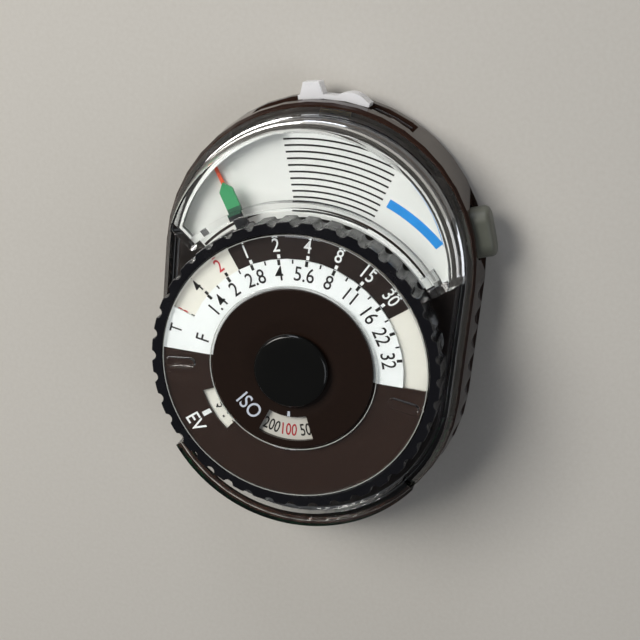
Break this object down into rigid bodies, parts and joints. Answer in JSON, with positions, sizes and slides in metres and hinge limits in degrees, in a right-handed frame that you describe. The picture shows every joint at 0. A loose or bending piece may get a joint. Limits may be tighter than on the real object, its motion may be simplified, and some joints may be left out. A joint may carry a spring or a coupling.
{
  "type": "light meter",
  "caption": "Pocket needle light meter: dark case, clear window over a curved scale, toothed calculator dial with tabs, side button and sliding diffuser.",
  "frame": {"origin": "where the dial's axis meets the flat back face", "axes": "+Z along the dial's axis, out of the dial; +Y towards the window and diffuser end; +X towards the side with the measuring button"},
  "size_m": [0.0478, 0.0653, 0.0178],
  "materials": {
    "dark_case": "polished dark brown moulding",
    "dark_frame": "dark inner moulding",
    "clear_plastic": "clear polished acrylic",
    "black_ring": "polished black moulding",
    "dark_print": "dark printed disc",
    "white_print": "white printed sheet",
    "scale_sheet": "pale painted sheet",
    "needle_paint": "orange painted metal",
    "green_plastic": "green moulding",
    "white_plastic": "milky white moulding",
    "grey_plastic": "grey green moulding",
    "steel": "plain steel",
    "iron": "magnet and soft iron",
    "brass": "plain brass",
    "copper_coil": "enamelled copper winding",
    "board_green": "glass fibre board with solder mask",
    "chip_black": "moulded chip body",
    "trimmer_blue": "blue trimmer body",
    "cell_dark": "dark light cell"
  },
  "bodies": {
    "case": {"amplifier_chip": "chip_black", "battery": "steel", "battery_contact_side": "brass", "battery_contact_top": "brass", "bridge_screw_1": "steel", "bridge_screw_2": "steel", "button_spring": "steel", "calibration_trimmer": "trimmer_blue", "carrier_screw_1": "steel", "carrier_screw_2": "steel", "carrier_screw_3": "steel", "case_screw_1": "steel", "case_screw_2": "steel", "case_screw_3": "steel", "case_screw_4": "steel", "cell_lens": "white_plastic", "centre_cap": "black_ring", "circuit_board": "board_green", "clear_cover": "clear_plastic", "core_magnet": "iron", "dial_carrier": "dark_frame", "dial_spindle": "steel", "front_frame": "dark_frame", "hairspring": "brass", "idler_pin_1": "steel", "idler_pin_2": "steel", "inner_disc": "dark_print", "light_cell": "cell_dark", "lower_bearing": "brass", "rear_case": "dark_case", "scale_plate": "scale_sheet", "switch_plate": "brass", "top_bridge": "brass", "yoke_ring": "iron"},
    "needle_movement": {"needle": "needle_paint", "needle_staff": "steel", "moving_coil": "copper_coil"},
    "dial": {"dial_ring": "black_ring", "sun_gear": "brass", "time_scale": "white_print"},
    "speed_setting": {"aperture_plate": "white_print", "film_speed_scale": "white_print", "clear_disc": "clear_plastic"},
    "first_idler": {"idler_gear_1": "brass"},
    "second_idler": {"idler_gear_2": "brass"},
    "pointer": {"green_pointer": "green_plastic"},
    "diffuser": {"diffuser_slide": "white_plastic"},
    "button": {"measuring_button": "grey_plastic"},
    "battery_door": {"battery_cover": "dark_case"}
  },
  "joints": [
    {"name": "dial_turn", "type": "hinge", "parent": "case", "child": "dial", "pos_m": [0, 0, 0], "axis": [0, 0, 1], "range_deg": [-200, 0]},
    {"name": "speed_turn", "type": "hinge", "parent": "case", "child": "speed_setting", "pos_m": [0, 0, 0], "axis": [0, 0, 1], "range_deg": [-43.9, 102.5]},
    {"name": "first_idler_turn", "type": "hinge", "parent": "case", "child": "first_idler", "pos_m": [-0.00156, -0.00886, 0], "axis": [0, 0, 1], "range_deg": [0, 314.2]},
    {"name": "second_idler_turn", "type": "hinge", "parent": "case", "child": "second_idler", "pos_m": [0.00531, -0.0102, 0], "axis": [0, 0, 1], "range_deg": [-314.2, 0]},
    {"name": "pointer_turn", "type": "hinge", "parent": "case", "child": "pointer", "pos_m": [0, 0, 0], "axis": [0, 0, 1], "range_deg": [-73.3, 0]},
    {"name": "needle_swing", "type": "hinge", "parent": "case", "child": "needle_movement", "pos_m": [0, 0, 0], "axis": [0, 0, 1], "range_deg": [-62, 0], "stiffness_Nm_per_rad": 0.00005, "springref_deg": 5.73, "deforming": ["hairspring"]},
    {"name": "diffuser_move", "type": "hinge", "parent": "case", "child": "diffuser", "pos_m": [0, 0.013, 0], "axis": [0, 0, 1], "range_deg": [-14, 13]},
    {"name": "button_press", "type": "slide", "parent": "case", "child": "button", "axis": [-0.9521, -0.3057, 0], "range_m": [0, 0.0008], "stiffness_N_per_m": 400, "springref_m": -0.001, "deforming": ["button_spring"]},
    {"name": "battery_cover_turn", "type": "hinge", "parent": "case", "child": "battery_door", "pos_m": [0, 0.0202, 0], "axis": [0, 0, 1], "range_deg": [0, 60]}
  ],
  "couplings": [
    {"joint": "first_idler_turn", "follows": "dial_turn", "ratio": -1.5714},
    {"joint": "second_idler_turn", "follows": "dial_turn", "ratio": 1.5714},
    {"joint": "pointer_turn", "follows": "dial_turn", "ratio": 0.36667}
  ]
}
